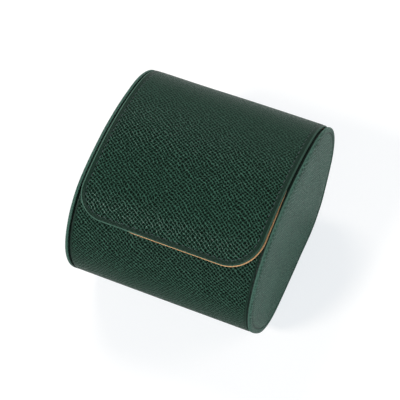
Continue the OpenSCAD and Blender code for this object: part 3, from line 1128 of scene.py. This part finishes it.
def cushion_body():
    """A suede tube drawn in at both ends: cloth swollen by pressure, then its gathers and its seam."""
    around, along = 72, 34
    verts = []
    for k in range(along + 1):
        t = -1 + 2 * k / along
        t = math.copysign(abs(t) ** 0.86, t)
        drawn_in = 0.9 + 3.0 * abs(t) ** 3
        for i in range(around):
            a = 2 * math.pi * i / around
            y = (CUSHION_DEEP / 2 - drawn_in) * math.cos(a)
            verts.append((t * TUBE_HALF, y, CUSHION_Z + (CUSHION_HIGH / 2 - drawn_in) * math.sin(a)))
    obj = fix_normals(mesh_object("cushion_body", verts, tube_faces(around, along + 1), angle=70))

    def sewn(p):
        at_end = abs(p.x) > TUBE_HALF - 0.6
        under = p.z < CUSHION_Z - CUSHION_HIGH / 2 + 2.6 and abs(p.y) < 3.0
        return at_end or under

    swell(obj, sewn)
    subdivide_once(obj)
    for v in obj.data.vertices:
        v.co = cushion_point(v.co / MM) * MM
    obj.data.polygons.foreach_set("use_smooth", [True] * len(obj.data.polygons))
    obj.data.update()
    return fix_normals(obj)


# (distance from the cushion's oval, height) of the leather end, from its edge over the rim to its face
OVAL_PROFILE = [(3.2, 0.0), (3.0, 0.15), (2.86, 0.5), (2.9, 0.85), (3.15, 1.1), (3.6, 1.18), (4.1, 1.05),
                (4.5, 0.8), (4.9, 0.72), (6, 0.84), (9, 0.98), (14, 1.08), (19, 1.12)]


def cushion_end(label, sign):
    """Leather oval with a rolled rim."""
    around = 120
    verts, uvs, edge = [], [], []
    for inset, height in OVAL_PROFILE:
        for i in range(around):
            a = 2 * math.pi * i / around
            y, z = (CUSHION_DEEP / 2 - inset) * math.cos(a), (CUSHION_HIGH / 2 - inset) * math.sin(a)
            verts.append((sign * (TUBE_HALF + height), y, CUSHION_Z + z))
            uvs.append((y, z))
            edge.append(1.0 if 2.8 < inset < 3.7 else 0.0)
    faces = tube_faces(around, len(OVAL_PROFILE))
    return fix_normals(mesh_object("cushion_oval_cover_" + label, verts, faces, uvs, edge, 60))


body = cushion_body()
dress(body, CUSHION_MAT, "cushion", "suede", "cushion_cover")
for label, sign in SIDES:
    dress(cushion_end(label, sign), SMOOTH_MAT, "cushion", "leather", "cushion_oval_" + label)

# ------------ solids of the frame

# the first word that is in a solid's name gives its material
SOLID_MATERIALS = {"magnet": MAGNET_MAT, "pad": FOAM_MAT, "core": FOAM_MAT, "board": BOARD_MAT,
                   "plate": BOARD_MAT, "lining": SUEDE_MAT, "cushion_cover": SUEDE_MAT, "": SMOOTH_MAT}

for name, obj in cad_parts.items():
    obj.data.materials.clear()
    obj.data.materials.append(next(material for word, material in SOLID_MATERIALS.items() if word in name))

# ------------ camera

# the camera fitted to the photograph: its right, up and backward axes, and its place in millimetres
CAMERA_RIGHT = (0.91639366, 0.39841468, -0.03857978)
CAMERA_UP = (-0.31795969, 0.78309422, 0.53447646)
CAMERA_BACK = (0.24315487, -0.47752402, 0.84430238)
CAMERA_PLACE = (167.210, -331.900, 627.327)
SENSOR = 36.0
FOCAL_LENGTH = 127.535


def make_camera():
    data = bpy.data.cameras.new("camera")
    data.sensor_width = SENSOR
    data.lens = FOCAL_LENGTH
    data.clip_start, data.clip_end = 0.01, 10.0
    camera = add_object("camera", data)
    turn = Matrix((CAMERA_RIGHT, CAMERA_UP, CAMERA_BACK)).transposed().to_4x4()
    camera.matrix_world = Matrix.Translation(Vector(CAMERA_PLACE) * MM) @ turn
    bpy.context.scene.camera = camera


make_camera()

# ------------ floor, light and world

FLOOR_HALF = 3.0
FLOOR_WHITE = (0.87, 0.88, 0.88, 1)
FLOOR_SHADE = (0.35, 0.315, 0.275, 1)
FLOOR_GLOW = (0.715, 0.75, 0.79, 1)
# a studio with white walls and a dark ceiling: height above the horizon and brightness
STUDIO = ((0.0, 1.0), (0.30, 1.0), (0.66, 0.04), (1.0, 0.04))
STUDIO_TINT = (0.97, 0.99, 1.0)
STUDIO_LIGHT = 0.95


def shader(tree, kind, color, strength=None):
    node = tree.nodes.new(kind)
    node.inputs[0].default_value = color
    if strength is not None:
        node.inputs[1].default_value = strength
    return node


def camera_mix(tree, kind, others, seen, rays):
    """Links the shader seen to the output for the named rays, and the shader others for all the rest."""
    out = tree.nodes.new(kind)
    mix = tree.nodes.new("ShaderNodeMixShader")
    path = tree.nodes.new("ShaderNodeLightPath")
    share = path.outputs[rays[0]]
    for ray in rays[1:]:
        either = tree.nodes.new("ShaderNodeMath")
        either.operation = "MAXIMUM"
        tree.links.new(share, either.inputs[0])
        tree.links.new(path.outputs[ray], either.inputs[1])
        share = either.outputs[0]
    tree.links.new(share, mix.inputs[0])
    tree.links.new(others.outputs[0], mix.inputs[1])
    tree.links.new(seen.outputs[0], mix.inputs[2])
    tree.links.new(mix.outputs[0], out.inputs[0])


def make_floor():
    """The object is lit by a white floor, and the camera sees it white with the object's faint shadow."""
    s = FLOOR_HALF
    mesh = bpy.data.meshes.new("floor")
    mesh.from_pydata([(-s, -s, 0), (s, -s, 0), (s, s, 0), (-s, s, 0)], [], [(0, 1, 2, 3)])
    obj = add_object("floor", mesh)
    material = bpy.data.materials.new("floor_white")
    tree = empty_tree(material)
    white = shader(tree, "ShaderNodeBsdfDiffuse", FLOOR_WHITE)
    shaded = tree.nodes.new("ShaderNodeAddShader")
    tree.links.new(shader(tree, "ShaderNodeBsdfDiffuse", FLOOR_SHADE).outputs[0], shaded.inputs[0])
    tree.links.new(shader(tree, "ShaderNodeEmission", FLOOR_GLOW, 1.0).outputs[0], shaded.inputs[1])
    camera_mix(tree, "ShaderNodeOutputMaterial", white, shaded, ["Is Camera Ray"])
    mesh.materials.append(material)


def make_world():
    """White behind the object, also in glossy and transmitted rays, and lit by the studio."""
    world = bpy.data.worlds.new("world")
    bpy.context.scene.world = world
    tree = empty_tree(world)
    white = shader(tree, "ShaderNodeBackground", (1, 1, 1, 1), 1.0)
    direction = tree.nodes.new("ShaderNodeTexCoord")
    height = tree.nodes.new("ShaderNodeSeparateXYZ")
    tree.links.new(direction.outputs["Generated"], height.inputs[0])
    walls = tree.nodes.new("ShaderNodeValToRGB")
    ramp = walls.color_ramp
    ramp.interpolation = "EASE"
    while len(ramp.elements) < len(STUDIO):
        ramp.elements.new(0.5)
    for element, (place, value) in zip(ramp.elements, STUDIO):
        element.position = place
        element.color = tuple(value * tint for tint in STUDIO_TINT) + (1,)
    tree.links.new(height.outputs["Z"], walls.inputs[0])
    studio = shader(tree, "ShaderNodeBackground", (1, 1, 1, 1), STUDIO_LIGHT)
    tree.links.new(walls.outputs[0], studio.inputs[0])
    rays = ["Is Camera Ray", "Is Glossy Ray", "Is Transmission Ray"]
    camera_mix(tree, "ShaderNodeOutputWorld", studio, white, rays)


def sun(name, direction, strength, angle):
    """A broad soft lamp far away in the given direction."""
    data = bpy.data.lights.new(name, "SUN")
    data.energy = strength
    data.angle = math.radians(angle)
    obj = add_object(name, data)
    obj.rotation_euler = (-Vector(direction)).to_track_quat("-Z", "Y").to_euler()
    obj.location = Vector(direction)


make_floor()
make_world()
sun("key", (-0.38, -0.62, 0.69), 1.85, 12.0)
sun("rear", (-0.45, 0.45, 0.77), 1.25, 22.0)
sun("side", (0.75, 0.42, 0.50), 0.8, 30.0)
sun("low", (-0.15, -0.95, 0.22), 0.5, 25.0)

bpy.context.scene.view_settings.view_transform = "Standard"

bpy.context.view_layer.update()
